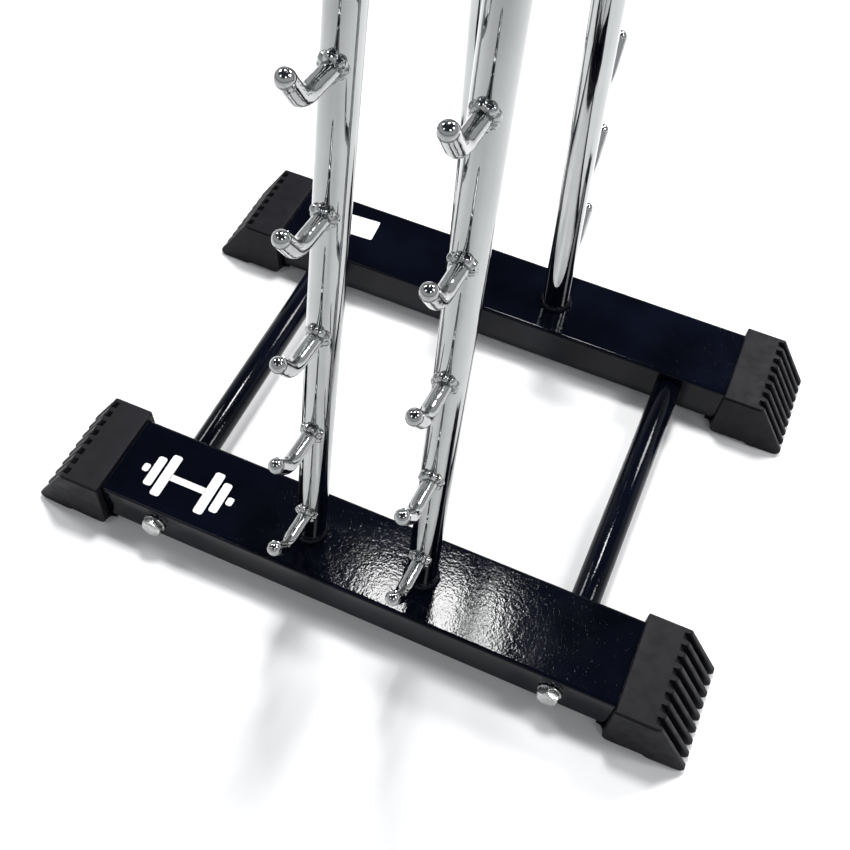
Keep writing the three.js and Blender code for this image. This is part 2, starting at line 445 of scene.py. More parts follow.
def powder_coat(colour, peel):
    """Gloss black powder coat with orange peel and a few specks of dust in the paint."""
    coat = Finish("gloss powder coat")
    coat.tint(coat.grain(60 * MM), shade_of(colour, 0.7), shade_of(colour, 1.5))
    coat.link(coat.remap(coat.grain(25 * MM, 4), 0.05, 0.09), coat.shader.inputs["Roughness"])
    coarse = coat.bump(coat.grain(5 * MM, 1.0), peel * 1.2)
    peeled = coat.bump(coat.grain(1.9 * MM, 1.5), peel, below=coarse)
    specks = coat.remap(coat.grain(1.1 * MM, 1), 0, 1, 0.70, 0.80)
    coat.link(coat.bump(specks, 0.03 * MM, 0.6, below=peeled), coat.shader.inputs["Normal"])
    coat.set(IOR=1.23)
    return coat.material


def chrome_plate(name, colour, ripple, size, lines, dullness):
    """Bright chrome with faint clouding, the ripple of the tube or rod under it and fine polishing
    lines along Z."""
    plate = Finish(name)
    plate.tint(plate.grain(45 * MM, 3), shade_of(colour, 0.95), shade_of(colour, 1.03))
    plate.link(plate.remap(plate.grain(9 * MM, 5), dullness, 2 * dullness), plate.shader.inputs["Roughness"])
    wave = plate.bump(plate.grain(size, 1.5, stretch=(1, 1, 0.4)), ripple)
    polish = plate.bump(plate.grain(2.2 * MM, 2, stretch=(1, 1, 0.02)), lines, below=wave)
    plate.link(plate.bump(plate.grain(1.2 * MM, 2), 0.002 * MM, below=polish), plate.shader.inputs["Normal"])
    plate.set(Metallic=1.0)
    return plate.material


def moulded_rubber(colour):
    """Satin black rubber with a fine grain, cloudy dulling and a painted highlight that makes its sharp edges
    lighter.
    """
    rubber = Finish("moulded rubber")
    cloud = rubber.remap(rubber.grain(14 * MM, 5), 0, 1)
    tint = rubber.blend(cloud, shade_of(colour, 0.85), shade_of(colour, 1.2))
    edge = rubber.add("ShaderNodeNewGeometry").outputs["Pointiness"]
    # Painted highlight: sharp edges, found by their pointiness, are blended towards a much lighter black.
    edge_highlight_tint = rubber.blend(rubber.remap(edge, 0, 0.55, 0.52, 0.62), tint, shade_of(colour, 2.6))
    rubber.link(edge_highlight_tint, rubber.shader.inputs["Base Color"])
    rubber.link(rubber.remap(rubber.grain(8 * MM, 4), 0.40, 0.54), rubber.shader.inputs["Roughness"])
    rubber.set(IOR=1.21)
    coarse = rubber.bump(rubber.grain(6 * MM, 2), 0.02 * MM)
    rubber.link(rubber.bump(rubber.grain(0.7 * MM, 2), 0.03 * MM, below=coarse), rubber.shader.inputs["Normal"])
    return rubber.material


def zinc_plate(colour):
    """Zinc plated steel with mottled brightness."""
    zinc = Finish("zinc plate")
    zinc.tint(zinc.grain(3 * MM, 4), shade_of(colour, 0.9), shade_of(colour, 1.08))
    zinc.link(zinc.remap(zinc.grain(2.5 * MM, 3), 0.20, 0.28), zinc.shader.inputs["Roughness"])
    zinc.link(zinc.bump(zinc.grain(1 * MM, 3), 0.002 * MM), zinc.shader.inputs["Normal"])
    zinc.set(Metallic=1.0)
    return zinc.material


def printed_white():
    """White print over the paint, which shows a little of its orange peel."""
    ink = Finish("white print")
    ink.tint(ink.grain(1.5 * MM, 3), (0.70, 0.70, 0.70), (0.86, 0.86, 0.85))
    ink.link(ink.bump(ink.grain(2.6 * MM, 1.5), 0.04 * MM), ink.shader.inputs["Normal"])
    ink.set(Roughness=0.38)
    return ink.material


def label_paper():
    """Coated white label paper with a faint fibre."""
    paper = Finish("label paper")
    paper.tint(paper.grain(0.6 * MM, 4), (0.74, 0.75, 0.76), (0.84, 0.85, 0.86))
    paper.link(paper.bump(paper.grain(3 * MM, 3), 0.05 * MM), paper.shader.inputs["Normal"])
    paper.set(Roughness=0.42)
    return paper.material


def ground_paint():
    """Plain pale floor with a barely visible unevenness."""
    ground = Finish("pale floor")
    ground.tint(ground.grain(0.4, 3), (0.88, 0.88, 0.88), (0.91, 0.91, 0.91))
    ground.set(Roughness=0.7)
    return ground.material


FINISHES = {}


def finish_of(name):
    """The named finish, made when it is first asked for."""
    colours = bpy.context.scene.stand_finishes
    chrome = colours.chrome
    # The hooks' chrome is a darker copy of the tubes' chrome: painted shade that stands in for the darker
    # reflections on the hooks.
    hook_shaded_chrome = shade_of(chrome, 0.86)
    makers = {
        "paint": lambda: powder_coat(colours.paint, colours.orange_peel),
        "tube chrome": lambda: chrome_plate("tube chrome", chrome, 0.05 * MM, 22 * MM, 0.008 * MM, 0.036),
        "hook chrome": lambda: chrome_plate("hook chrome", hook_shaded_chrome, 0.26 * MM, 4.5 * MM, 0.004 * MM, 0.06),
        "rubber": lambda: moulded_rubber(colours.rubber),
        "zinc": lambda: zinc_plate(colours.zinc),
        "print": printed_white,
        "paper": label_paper,
        "ground": ground_paint,
    }
    if name not in FINISHES:
        FINISHES[name] = makers[name]()
    return FINISHES[name]


# --- Pieces


class STAND_OT_beams(bpy.types.Operator):
    """Models both base beams: box section, rounded corners, bored for the legs and drilled for bolts"""

    bl_idname = "stand.beams"
    bl_label = "Base beams"

    def execute(self, context):
        sizes = context.scene.stand_sizes
        for face in FACES:
            node = f"beam_{face}"
            beam = box(middle(node), extent(node))
            self.hollow(beam, sizes.beam_wall)
            self.round_corners(beam, node, sizes)
            cut_away(beam, self.bores(face, sizes))
            tidy_mesh(beam)
            complete(beam, f"base_beam_{face}", finish_of("paint"), [node], weighted=True)
        return {"FINISHED"}

    def hollow(self, beam, wall):
        edit(beam)
        pick(beam, "faces", lambda face: abs(face.normal.x) > 0.9)
        bpy.ops.mesh.inset(thickness=wall, use_individual=True)
        bpy.ops.mesh.bridge_edge_loops()
        leave_edit()

    def round_corners(self, beam, node, sizes):
        centre = middle(node)
        half_width = extent(node).y / 2

        def along_beam(edge, outer):
            place, direction = edge_line(edge)
            on_outside = abs(abs(place.y - centre.y) - half_width) < sizes.beam_wall / 2
            return abs(direction.x) > 0.9 and on_outside == outer

        for outer, radius, segments in ((True, sizes.beam_corner, 6), (False, sizes.beam_corner / 3, 3)):
            edit(beam, "EDGE")
            pick(beam, "edges", lambda edge: along_beam(edge, outer))
            bpy.ops.mesh.bevel(offset=radius, segments=segments, profile=0.5)
            leave_edit()

    def bores(self, face, sizes):
        cutters = []
        clearance = 0.3 * MM
        for side in SIDES:
            leg = leg_matrix(face, side)
            bore = rod((0, 0, 0), sizes.hoop_diameter / 2 + clearance, 30 * MM, (0, 0, 1), 64)
            place(bore, leg)
            shank = middle(f"washer_{face}_{side}")
            hole = rod(
                (shank.x, middle(f"beam_{face}").y, shank.z), 5 * MM + clearance, 100 * MM, (0, 1, 0), 32
            )
            cutters += [bore, hole]
        return cutters


class STAND_OT_cross_tubes(bpy.types.Operator):
    """Models the two round tubes between the beams, each with a plain bore through it, end to end"""

    bl_idname = "stand.cross_tubes"
    bl_label = "Cross tubes"

    def execute(self, context):
        for side in SIDES:
            node = f"cross_tube_{side}"
            size = extent(node)
            radius, half = size.x / 2, size.y / 2
            chamfer = 0.5 * MM
            bore = 5.3 * MM
            end = [(bore, half), (radius - chamfer, half)]
            end += [(radius - chamfer / 4, half - chamfer / 4), (radius, half - chamfer)]
            profile = [(width, -height) for width, height in end] + end[::-1]
            tube = turned(profile, sides=72, closed=True)
            place(tube, Matrix.Translation(middle(node)) @ Matrix.Rotation(math.pi / 2, 4, "X"))
            check_place(tube, node)
            complete(tube, f"tie_tube_{side}", finish_of("paint"), [node])
        return {"FINISHED"}


class STAND_OT_hoops(bpy.types.Operator):
    """Models the two hoops, each one tube bent to a narrow upside-down U"""

    bl_idname = "stand.hoops"
    bl_label = "Hoops"

    def execute(self, context):
        sizes = context.scene.stand_sizes
        lean, tilt = lean_and_tilt()
        half = middle("beam_rear").y
        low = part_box("hoop_left")[0].z
        radius = sizes.hoop_diameter / 2
        buried = (BEAM_TOP - low - radius * math.sin(lean)) / math.cos(lean)
        apex = (half * math.cos(lean) - sizes.hoop_bend) / math.sin(lean)
        straight = buried + (apex + sizes.hoop_bend * math.sin(lean)) / math.cos(lean)
        for side, sign in SIDES.items():
            hoop = self.bent_tube(radius, half, lean, buried, straight, apex)
            apply_modifier(hoop, "SOLIDIFY", thickness=sizes.hoop_wall, offset=-1)
            tidy_mesh(hoop)
            centre = Matrix.Translation((sign * sizes.hoop_spacing / 2, 0, BEAM_TOP))
            place(hoop, centre @ Matrix.Rotation(-sign * tilt, 4, "Y"))
            check_place(hoop, f"hoop_{side}")
            complete(hoop, f"hoop_tube_{side}", finish_of("tube chrome"), [f"hoop_{side}"])
        return {"FINISHED"}

    def bent_tube(self, radius, half, lean, buried, straight, apex):
        """The outer skin of a hoop in its own plane, from its front foot over the top to its rear foot."""
        up = Vector((0, math.sin(lean), math.cos(lean)))
        down = Vector((0, math.sin(lean), -math.cos(lean)))
        tube = open_ring(64, radius, Vector((0, -half, 0)) - up * buried, (-lean, 0, 0))
        extrude(up * straight)
        bpy.ops.mesh.spin(steps=48, angle=math.pi - 2 * lean, center=(0, 0, apex), axis=(1, 0, 0))
        extrude(down * straight)
        tidy_mesh(tube)
        return tube


class STAND_OT_hooks(bpy.types.Operator):
    """Models one hook with its weld and copies it to every level of the four legs"""

    bl_idname = "stand.hooks"
    bl_label = "Hooks"

    def execute(self, context):
        sizes = context.scene.stand_sizes
        pattern = self.hook_rod(sizes)
        for face in FACES:
            for side in SIDES:
                leg = leg_matrix(face, side)
                _, pitch = leg_direction(face, side)
                first = self.first_tip(leg, face, side, sizes)
                for level in range(LEVELS):
                    number = f"{face}_{side}_{level + 1:02d}"
                    seed = level + LEVELS * (2 * (FACES[face] > 0) + (SIDES[side] > 0))
                    hook = join([own_copy(pattern), self.weld(sizes, seed)])
                    place(hook, leg @ Matrix.Translation((0, 0, first + level * pitch)))
                    check_place(hook, f"hook_{number}", 4 * MM)
                    complete(
                        hook, f"rack_hook_{number}", finish_of("hook chrome"), [f"hook_{number}"], 50
                    )
        bpy.data.objects.remove(pattern)
        return {"FINISHED"}

    def first_tip(self, leg, face, side, sizes):
        """Height of the lowest tip's centre up the leg, from the centre of its node's box."""
        inverse = leg.inverted()
        low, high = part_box(f"hook_{face}_{side}_01")
        centre = inverse @ ((low + high) / 2)
        weld_below = 8.5 * MM
        top, bottom = sizes.hook_diameter / 2, -sizes.hook_drop - weld_below
        return centre.z - (top + bottom) / 2

    def line(self, sizes):
        """Centre line of a hook as (out, up) from the leg's axis at the tip's height: the root, the
        lengths of the arm and the upturn, and the centre of the bend."""
        def heading(angle):
            return Vector((math.cos(angle), math.sin(angle)))

        rise, tip = sizes.hook_rise, sizes.hook_tip_angle
        root = Vector((sizes.hoop_diameter / 2, -sizes.hook_drop))
        to_tip = Vector((sizes.hook_reach, 0)) - root
        across = math.sin(tip - rise)
        trim = sizes.hook_bend * math.tan((tip - rise) / 2)
        arm = to_tip.cross(heading(tip)) / across - trim
        upturn = heading(rise).cross(to_tip) / across - trim
        centre = root + heading(rise) * arm + heading(rise + math.pi / 2) * sizes.hook_bend
        return root, arm, upturn, centre

    def hook_rod(self, sizes):
        """Rod with its bend and round tip, -Y out from the leg and +Z up."""
        root, arm, upturn, centre = self.line(sizes)
        radius = sizes.hook_diameter / 2
        inside = 1.2 * MM
        rise, tip = sizes.hook_rise, sizes.hook_tip_angle
        outward = Vector((0, -math.cos(rise), math.sin(rise)))
        upward = Vector((0, -math.cos(tip), math.sin(tip)))
        start = Vector((0, -root.x, root.y)) - outward * inside
        hook = open_ring(40, radius, start, (math.pi / 2 - rise, 0, 0))
        extrude(outward * (arm + inside))
        bpy.ops.mesh.spin(steps=14, angle=tip - rise, center=(0, -centre.x, centre.y), axis=(1, 0, 0))
        extrude(upward * upturn)
        end = Vector((0, -sizes.hook_reach, 0))
        step = 0.25 * MM
        ball = radius - step
        rings = [(radius, 0), (radius - 1.6 * step, step), (ball, 2.4 * step)] + dome_rings(ball, 2.4 * step)
        for (width, height), (next_width, next_height) in zip(rings, rings[1:]):
            extrude(upward * (next_height - height))
            scale = next_width / width
            bpy.ops.transform.resize(value=(scale, scale, scale), center_override=end + upward * next_height)
        bpy.ops.mesh.select_all(action="SELECT")
        bpy.ops.mesh.fill_holes(sides=0)
        tidy_mesh(hook)
        return hook

    def weld(self, sizes, seed):
        """Ring of weld beads around the root, larger on top, blended and seated on the leg."""
        beads = 8
        weld = join([self.bead(sizes, seed, i, math.tau * i / beads) for i in range(beads)])
        apply_place(weld)
        apply_modifier(weld, "REMESH", mode="VOXEL", voxel_size=0.45 * MM)
        apply_modifier(weld, "SMOOTH", factor=0.5, iterations=12)
        grain, depth = 3.6 * MM, 0.55 * MM
        seated = sizes.hoop_diameter / 2 - 0.5 * MM
        shift = Vector((seed * 0.731, seed * 1.177, seed * 0.413))
        normals = [vertex.normal.copy() for vertex in weld.data.vertices]
        for vertex, normal in zip(weld.data.vertices, normals):
            vertex.co += normal * noise.noise(vertex.co / grain + shift) * depth
            x, y, _ = vertex.co
            distance = math.hypot(x, y)
            if distance < seated:
                vertex.co.x, vertex.co.y = x * seated / distance, y * seated / distance
        return weld

    def bead(self, sizes, seed, number, angle):
        """One ball of the weld ring, at an angle round the root from the leg's right."""
        root, _, _, _ = self.line(sizes)
        ring = sizes.hook_diameter / 2 + 0.6 * MM
        angle += 0.35 * math.sin(seed * 2.3)
        heavy = 0.5 + 0.5 * math.sin(angle + 0.4 * math.sin(seed))
        uneven = noise.noise(Vector((number * 1.31, seed * 0.77, 0.5)))
        aside, height = ring * math.cos(angle), ring * math.sin(angle)
        surface = math.sqrt((sizes.hoop_diameter / 2) ** 2 - aside**2)
        out = surface + (-0.9 + 1.5 * heavy) * MM
        deselect()
        size, spot = (2.9 + 1.3 * heavy + 1.1 * uneven) * MM, (aside, -out, root.y + height)
        bpy.ops.mesh.primitive_uv_sphere_add(segments=20, ring_count=12, radius=size, location=spot)
        return bpy.context.object


class STAND_OT_leg_collars(bpy.types.Operator):
    """Models the painted weld ring around the foot of each leg"""

    bl_idname = "stand.leg_collars"
    bl_label = "Leg collars"

    def execute(self, context):
        radius = context.scene.stand_sizes.hoop_diameter / 2
        steps = ((-0.2, 5.6), (0.7, 5.4), (1.7, 4.4), (2.5, 2.8), (2.9, 1.2), (3.0, -1.2), (-0.2, -1.2))
        profile = [(radius + out * MM, height * MM) for out, height in steps]
        number = 0
        for face in FACES:
            for side in SIDES:
                ring = turned(profile, sides=96, closed=True)
                self.roughen(ring, radius, number)
                place(ring, leg_matrix(face, side))
                for vertex in ring.data.vertices:
                    vertex.co.z = max(vertex.co.z, BEAM_TOP - 0.4 * MM)
                complete(ring, f"leg_collar_{face}_{side}", finish_of("paint"), smooth=60)
                number += 1
        return {"FINISHED"}

    def roughen(self, ring, radius, number):
        for vertex in ring.data.vertices:
            aside, along, height = vertex.co
            distance = math.hypot(aside, along)
            proud = distance - radius
            if proud > 0.3 * MM and height > 0:
                angle = math.atan2(along, aside)
                lump = noise.noise(Vector((4 * math.cos(angle), 4 * math.sin(angle), number * 3.1)))
                ripple = 0.25 * math.sin(26 * angle)
                scale = (radius + proud * (1 + 0.35 * lump + 0.3 * ripple)) / distance
                vertex.co = (aside * scale, along * scale, height * (1 + 0.3 * lump))


class STAND_OT_feet(bpy.types.Operator):
    """Models one finned rubber foot and copies it to the four beam ends"""

    bl_idname = "stand.feet"
    bl_label = "Rubber feet"

    def execute(self, context):
        sizes = context.scene.stand_sizes
        pattern = self.foot(sizes)
        for face in FACES:
            for side, sign in SIDES.items():
                node = f"foot_{face}_{side}"
                foot = own_copy(pattern)
                turn = Matrix.Rotation(0 if sign > 0 else math.pi, 4, "Z")
                place(foot, Matrix.Translation((0, middle(node).y, 0)) @ turn)
                check_place(foot, node, 3 * MM)
                complete(foot, f"rubber_foot_{face}_{side}", finish_of("rubber"), [node], 32, True)
        bpy.data.objects.remove(pattern)
        return {"FINISHED"}

    def foot(self, sizes):
        """The foot of the right end, with the beam's axis on Y zero."""
        low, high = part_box("foot_front_right")
        half_width = (high.y - low.y) / 2
        lip_reach, slope_reach = 9 * MM, 30.5 * MM
        shape = {
            "lip": low.x,
            "inner": low.x + lip_reach,
            "top": high.z,
            "top_outer": high.x - slope_reach,
            "toe": high.x,
        }
        foot = outlined(self.side_outline(shape), 2 * half_width)
        self.flare(foot, shape, half_width, sizes.foot_flare)
        self.round_block(foot, shape, sizes)
        cut_away(foot, [self.socket()] + self.lip_corners(shape, half_width))
        cut_away(foot, self.slots(shape, sizes))
        tidy_mesh(foot, 1e-5)
        self.round_fins(foot, shape, sizes)
        cut_away(foot, self.grooves(shape, half_width))
        tidy_mesh(foot, 1e-5)
        return foot

    def flare(self, foot, shape, half_width, flare):
        """Sets the sides out towards the floor, a little less at the toe."""
        toe_in = 1.2 * MM
        for vertex in foot.data.vertices:
            share = 1 - vertex.co.z / shape["top"]
            toe = max(0, (vertex.co.x - shape["top_outer"]) / (shape["toe"] - shape["top_outer"]))
            vertex.co.y *= 1 + (flare * share - toe_in * toe * share) / half_width

    def soften(self, foot, width, test):
        """Rounds the edges of the foot that pass the test."""
        edit(foot, "EDGE")
        pick(foot, "edges", test)
        bpy.ops.mesh.bevel(offset=width, segments=3, profile=0.5, clamp_overlap=False)
        leave_edit()

    def round_block(self, foot, shape, sizes):
        """Rounds the edges of the block, apart from the short ones around the lip."""
        past_lip = shape["inner"] + 8 * MM
        above_lip = BEAM_UNDERSIDE + 7 * MM

        def block_edge(edge):
            spot, _ = edge_line(edge)
            clear_of_lip = spot.x > past_lip or spot.z > above_lip
            return clear_of_lip and edge.calc_face_angle(0) > math.radians(38)

        self.soften(foot, sizes.foot_rounding, block_edge)

    def round_fins(self, foot, shape, sizes):
        """Rounds the outer edges of the fins, on both sides of every slot."""
        first = -(sizes.foot_slots - 1) / 2 * sizes.slot_pitch
        slope_start = shape["top_outer"] - 1 * MM

        def fin_edge(edge):
            spot, heading = edge_line(edge)
            from_first = spot.y - first
            from_slot = abs(from_first - round(from_first / sizes.slot_pitch) * sizes.slot_pitch)
            beside = abs(from_slot - sizes.slot_width / 2) < 0.05 * MM
            along = abs(heading.y) < 0.05
            return beside and along and spot.x > slope_start and edge.calc_face_angle_signed(0) > 0.7

        self.soften(foot, sizes.foot_rounding, fin_edge)

    def side_outline(self, shape):
        """Side outline, from the inner top edge down, out and back under the lip, along the sole with
        its arch, up the toe and back."""
        inner, lip, toe = shape["inner"], shape["lip"], shape["toe"]
        arch, step, toe_round = 2.4 * MM, 6 * MM, 6 * MM
        lip_top, lip_under = BEAM_UNDERSIDE - 0.3 * MM, BEAM_UNDERSIDE - 1.8 * MM
        wall_end = inner - 1.5 * MM
        points = [
            (inner, shape["top"]),
            (inner - 1.2 * MM, BEAM_UNDERSIDE + 8 * MM),
            (wall_end, BEAM_UNDERSIDE + 3 * MM),
        ]
        points += curve_points(points[-1], (wall_end, lip_top), (lip, lip_top), 4)
        points += [(lip, lip_under), (inner - 5.5 * MM, lip_under)]
        turn = arch + 0.55 * (lip_under - arch)
        points += curve_points(points[-1], (inner - 1.4 * MM, lip_under), (inner - 0.2 * MM, turn), 5)
        points += curve_points(points[-1], (inner + 1.2 * MM, arch), (inner + 7.5 * MM, arch), 6)
        arch_end = inner + 33 * MM
        points += [(arch_end, arch)]
        points += curve_points(points[-1], (arch_end + 2.5 * MM, 0), (arch_end + step, 0), 4)
        points += [(toe - toe_round, 0)]
        points += curve_points(points[-1], (toe, 0), (toe, toe_round), 6)
        points += [(shape["top_outer"], shape["top"])]
        return points

    def socket(self):
        """Room for the beam's end."""
        size = extent("beam_front")
        clearance = 0.3 * MM
        depth = 80 * MM
        return box(
            (size.x / 2 + clearance - depth / 2, 0, middle("beam_front").z),
            (depth, size.y + 2 * clearance, size.z + 2 * clearance),
        )

    def lip_corners(self, shape, half_width):
        """Cutters that take the lip under the beam in to the beam's width, with a curve into the wall."""
        inside = extent("beam_front").y / 2 + 0.1 * MM
        beyond, far = shape["lip"] - 21 * MM, half_width + 20 * MM
        wall = shape["inner"] - 0.5 * MM
        points = [(beyond, far), (beyond, inside), (shape["lip"], inside)]
        points += curve_points(points[-1], (wall - 1 * MM, inside), (wall, half_width + 4 * MM), 7)
        points += [(wall, far)]
        cutters = []
        for sign in (-1, 1):
            cutter = outlined([(x, sign * y) for x, y in points], 300 * MM)
            place(cutter, Matrix.Rotation(math.pi / 2, 4, "X"))
            cutters.append(cutter)
        return cutters

    def slots(self, shape, sizes):
        """Cutters between the fins: straight down the slope, then out through the sole at the toe."""
        depth, over, below = 6 * MM, 6 * MM, -3 * MM
        top, toe = shape["top"], shape["toe"]
        start = shape["top_outer"] - depth
        slope = toe - shape["top_outer"]
        points = [(start, top + over), (start, top), (start + 0.72 * slope, 0.25 * top)]
        points += curve_points(points[-1], (toe - 6.4 * MM, 6 * MM), (toe - 4.6 * MM, below), 6)
        points += [(toe + over, below), (toe + over, top + over)]
        cutters = []
        for i in range(sizes.foot_slots):
            cutter = outlined(points, sizes.slot_width)
            place(cutter, Matrix.Translation((0, (i - (sizes.foot_slots - 1) / 2) * sizes.slot_pitch, 0)))
            cutters.append(cutter)
        return cutters

    def grooves(self, shape, half_width):
        """Cutters for the thin groove under the top edge of both side walls."""
        width, depth = 1.3 * MM, 1.5 * MM
        start, end = shape["inner"] - 5 * MM, shape["top_outer"] - 2 * MM
        height = shape["top"] - 2.0 * MM
        size = (end - start, 2 * depth, width)
        return [box(((start + end) / 2, sign * half_width, height), size) for sign in (-1, 1)]


class STAND_OT_fasteners(bpy.types.Operator):
    """Models one hexagon bolt and one washer and copies them to the four ends of the cross tubes"""

    bl_idname = "stand.fasteners"
    bl_label = "Bolts and washers"

    def execute(self, context):
        bolt = self.bolt()
        washer = self.washer()
        for face, sign in FACES.items():
            turn = Matrix.Rotation(0 if sign < 0 else math.pi, 4, "Z")
            for side in SIDES:
                spot = f"{face}_{side}"
                seat = middle(f"washer_{spot}")
                seat.y = middle(f"beam_{face}").y + sign * extent(f"beam_{face}").y / 2
                twist = Matrix.Rotation(math.radians(11 if side == "left" else -7), 4, "Y")
                for pattern, kind in ((bolt, "bolt"), (washer, "washer")):
                    piece = own_copy(pattern)
                    place(piece, Matrix.Translation(seat) @ turn @ twist)
                    check_place(piece, f"{kind}_{spot}", 3 * MM)
                    complete(piece, f"hex_{kind}_{spot}", finish_of("zinc"), [f"{kind}_{spot}"], 30)
        for pattern in (bolt, washer):
            bpy.data.objects.remove(pattern)
        return {"FINISHED"}

    def washer(self):
        low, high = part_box("washer_front_left")
        outer, thickness = (high.x - low.x) / 2, high.y - low.y
        bore, edge = 5.4 * MM, 0.35 * MM
        profile = [(bore, 0), (outer - edge, 0), (outer, edge), (outer, thickness - edge)]
        profile += [(outer - edge / 3, thickness - edge / 3), (outer - edge, thickness)]
        profile += [(bore + edge, thickness), (bore, thickness - edge)]
        washer = turned(profile, sides=64, closed=True)
        place(washer, Matrix.Translation((0, -0.3 * MM, 0)) @ Matrix.Rotation(math.pi / 2, 4, "X"))
        return washer

    def bolt(self):
        """Hexagon head cut by a chamfer cone, with a threaded shank, head towards -Y."""
        low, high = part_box("bolt_front_left")
        across = high.x - low.x
        head = 6.4 * MM
        length = high.y - low.y - head
        deselect()
        bpy.ops.mesh.primitive_cylinder_add(
            vertices=6, radius=across / math.sqrt(3), depth=head, location=(0, 0, head / 2)
        )
        bolt = bpy.context.object
        apply_place(bolt)
        rim = across / math.sqrt(3) + 0.2 * MM
        flat = across / 2
        profile = [(rim - 0.5 * MM, -0.1 * MM), (rim, 0.5 * MM), (rim, head - 2.0 * MM)]
        profile += [(flat * 0.96, head - 0.2 * MM), (flat * 0.93, head), (flat * 0.93, head + 0.1 * MM)]
        cone = turned(profile, sides=72)
        apply_modifier(bolt, "BOOLEAN", operation="INTERSECT", solver="EXACT", object=cone)
        bpy.data.objects.remove(cone)
        apply_modifier(
            bolt, "BEVEL", width=0.25 * MM, segments=2, limit_method="ANGLE", angle_limit=math.radians(40)
        )
        join([bolt, self.shank(length)])
        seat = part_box("beam_front")[0].y - high.y + length
        place(bolt, Matrix.Translation((0, -seat, 0)) @ Matrix.Rotation(math.pi / 2, 4, "X"))
        return bolt

    def shank(self, length):
        """Plain shank, then thread to a chamfered end."""
        radius, root, pitch = 5 * MM, 4.15 * MM, 1.5 * MM
        plain = 0.35 * length
        rings = [(radius, 0.5 * MM), (radius, -plain)]
        turns = int((length - plain) / pitch) - 1
        for i in range(turns):
            start = -plain - i * pitch
            rings += [(root, start - 0.45 * pitch), (radius, start - 0.95 * pitch)]
        rings += [(root, -length + 0.8 * MM), (root - 0.8 * MM, -length)]
        return turned(rings, sides=24)


class STAND_OT_markings(bpy.types.Operator):
    """Models the plain dumbbell sign on the front beam and the blank label on the rear one"""

    bl_idname = "stand.markings"
    bl_label = "Sign and label"

    def execute(self, context):
        self.sign()
        self.label()
        return {"FINISHED"}

    def plate(self, centre, width, depth, thickness, corner):
        """A thin flat plate with round corners."""
        plate = box(centre, (width, depth, thickness))
        edit(plate, "EDGE")
        pick(plate, "edges", lambda edge: abs(edge_line(edge)[1].z) > 0.9)
        bpy.ops.mesh.bevel(offset=corner, segments=6, profile=0.5)
        leave_edit()
        return plate

    def sign(self):
        """A dumbbell in outline: a bar, two plates on each side and the bar's ends."""
        thickness = 0.12 * MM
        centre = Vector((-166 * MM, middle("beam_front").y - 5 * MM, BEAM_TOP + thickness / 2))
        parts = [self.plate(centre, 34 * MM, 6.4 * MM, thickness, 0.4 * MM)]
        for sign in (-1, 1):
            for offset, width, depth in ((21, 9, 44), (32, 8, 31), (41, 6, 8)):
                spot = centre + Vector((sign * offset * MM, 0, 0))
                parts.append(self.plate(spot, width * MM, depth * MM, thickness, min(2.4, width / 3) * MM))
        complete(join(parts), "dumbbell_sign", finish_of("print"), smooth=30)

    def label(self):
        """A blank label, stuck on a little askew, with one corner curling up."""
        thickness = 0.12 * MM
        width, depth = 50 * MM, 26 * MM
        flat, curl = 0.62, 5.4 * MM
        label = self.plate((0, 0, thickness / 2), width, depth, thickness, 1.5 * MM)
        edit(label, select="SELECT")
        bpy.ops.mesh.subdivide(number_cuts=3)
        leave_edit()
        for vertex in label.data.vertices:
            corner = vertex.co.x / width + vertex.co.y / depth
            vertex.co.z += curl * max(0, corner - flat) ** 2
        spot = Vector((-171 * MM, middle("beam_rear").y + 7 * MM, BEAM_TOP))
        place(label, Matrix.Translation(spot) @ Matrix.Rotation(math.radians(3), 4, "Z"))
        complete(label, "blank_label", finish_of("paper"), smooth=30)


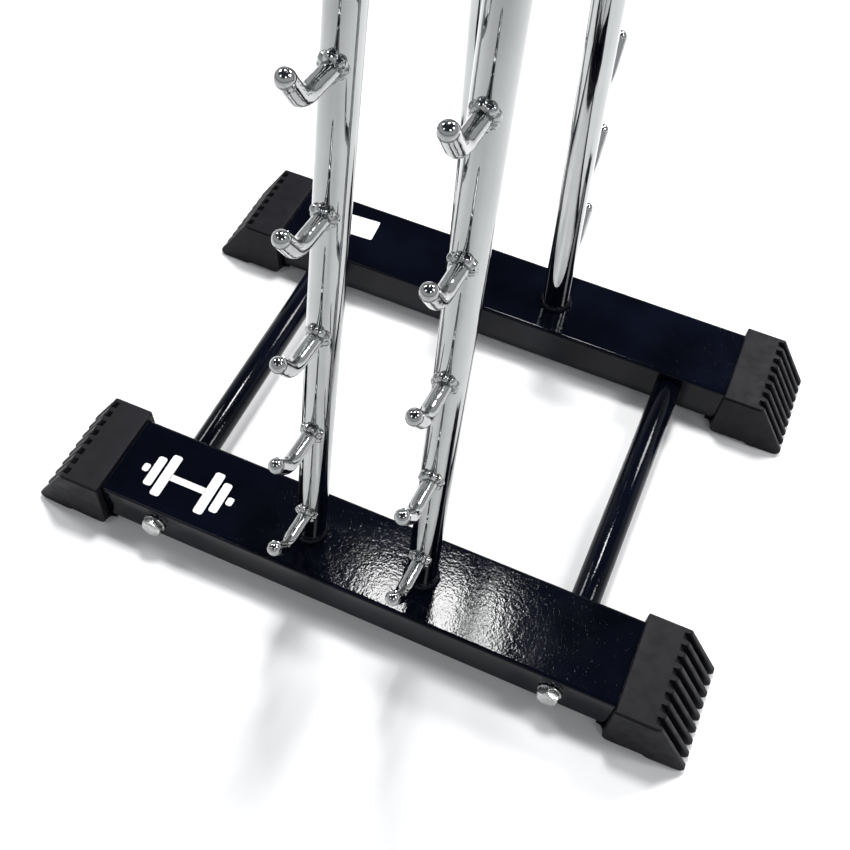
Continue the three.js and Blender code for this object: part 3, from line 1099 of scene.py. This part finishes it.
class STAND_OT_stage(bpy.types.Operator):
    """Sets up the floor, the soft lights and the camera"""

    bl_idname = "stand.stage"
    bl_label = "Stage"

    def execute(self, context):
        self.floor()
        self.surroundings(context.scene)
        self.lights()
        self.camera(context.scene)
        context.scene.view_settings.view_transform = "Standard"
        return {"FINISHED"}

    def floor(self):
        deselect()
        bpy.ops.mesh.primitive_grid_add(x_subdivisions=8, y_subdivisions=8, size=16)
        ground = bpy.context.object
        apply_place(ground)
        ground.name = "ground"
        ground.data.materials.append(finish_of("ground"))

    def surroundings(self, scene):
        """A room that is pale near the horizon and dark overhead."""
        world = bpy.data.worlds.new("studio room")
        world.use_nodes = True
        nodes, links = world.node_tree.nodes, world.node_tree.links
        direction = nodes.new("ShaderNodeTexCoord").outputs["Generated"]
        split = nodes.new("ShaderNodeSeparateXYZ")
        links.new(direction, split.inputs["Vector"])
        ramp = nodes.new("ShaderNodeValToRGB")
        links.new(split.outputs["Z"], ramp.inputs["Fac"])
        ramp.color_ramp.elements[0].position = 0.40
        ramp.color_ramp.elements[0].color = (0.70, 0.71, 0.73, 1)
        ramp.color_ramp.elements[1].position = 0.62
        ramp.color_ramp.elements[1].color = (0.05, 0.055, 0.07, 1)
        links.new(ramp.outputs["Color"], nodes["Background"].inputs["Color"])
        nodes["Background"].inputs["Strength"].default_value = 0.95
        scene.world = world

    def lights(self):
        lamps = (
            ("rear window", (-0.175, 0.67, 2.06), (0.06, -0.19, 0.05), 0.36, 0.34, 36),
            ("left lamp", (-2.0, 0.5, 2.2), (0, 0, 0.3), 0.6, 0.6, 25),
            ("right lamp", (2.0, 0.3, 2.2), (0, 0, 0.3), 0.6, 0.6, 25),
            ("front left lamp", (-1.2, -1.7, 2.3), (0, 0, 0.3), 0.6, 0.6, 6),
            ("front right lamp", (1.4, -1.5, 2.3), (0, 0, 0.3), 0.6, 0.6, 6),
            ("rear lamp", (0.9, 2.1, 2.2), (0, 0, 0.3), 0.6, 0.6, 40),
        )
        for name, spot, target, width, depth, power in lamps:
            lamp = bpy.data.lights.new(name, "AREA")
            lamp.shape = "RECTANGLE"
            lamp.size, lamp.size_y = width, depth
            lamp.energy = power
            holder = bpy.data.objects.new(name, lamp)
            bpy.context.scene.collection.objects.link(holder)
            holder.location = spot
            aim = Vector(target) - Vector(spot)
            holder.rotation_euler = aim.to_track_quat("-Z", "Y").to_euler()

    def camera(self, scene):
        """A camera above the front right corner, looking down along the beams."""
        turn, height, roll = (math.radians(angle) for angle in (21.55, 54.88, 3.29))
        back = Vector((math.sin(turn) * math.cos(height), -math.cos(turn) * math.cos(height), math.sin(height)))
        right = Vector((math.cos(turn), math.sin(turn), 0))
        upright = back.cross(right)
        across = right * math.cos(roll) + upright * math.sin(roll)
        above = upright * math.cos(roll) - right * math.sin(roll)
        lens = bpy.data.cameras.new("camera")
        lens.sensor_width = 36
        lens.lens = 48.31
        lens.shift_x = 0.0455
        lens.shift_y = 0.0031
        holder = bpy.data.objects.new("camera", lens)
        scene.collection.objects.link(holder)
        rotation = Matrix((across, above, back)).transposed().to_4x4()
        holder.matrix_world = Matrix.Translation((0.1791, -0.5890, 0.8835)) @ rotation
        scene.camera = holder


class STAND_PT_panel(bpy.types.Panel):
    """Lists the pieces of the stand and its sizes and finishes"""

    bl_label = "Dumbbell Stand"
    bl_idname = "STAND_PT_panel"
    bl_space_type = "VIEW_3D"
    bl_region_type = "UI"
    bl_category = "Dumbbell Stand"

    def draw(self, context):
        layout = self.layout
        for operator in OPERATORS:
            layout.operator(operator.bl_idname)
        for settings in (context.scene.stand_sizes, context.scene.stand_finishes):
            column = layout.column()
            for name in settings.__annotations__:
                column.prop(settings, name)


OPERATORS = (
    STAND_OT_beams,
    STAND_OT_cross_tubes,
    STAND_OT_hoops,
    STAND_OT_leg_collars,
    STAND_OT_hooks,
    STAND_OT_feet,
    STAND_OT_fasteners,
    STAND_OT_markings,
    STAND_OT_stage,
)
CLASSES = (STAND_PG_sizes, STAND_PG_finishes, *OPERATORS, STAND_PT_panel)


def register():
    for kind in CLASSES:
        bpy.utils.register_class(kind)
    bpy.types.Scene.stand_sizes = PointerProperty(type=STAND_PG_sizes)
    bpy.types.Scene.stand_finishes = PointerProperty(type=STAND_PG_finishes)


def unregister():
    del bpy.types.Scene.stand_finishes
    del bpy.types.Scene.stand_sizes
    for kind in reversed(CLASSES):
        bpy.utils.unregister_class(kind)


def main():
    register()
    for operator in OPERATORS:
        group, name = operator.bl_idname.split(".")
        getattr(getattr(bpy.ops, group), name)()


if __name__ == "__main__":
    main()
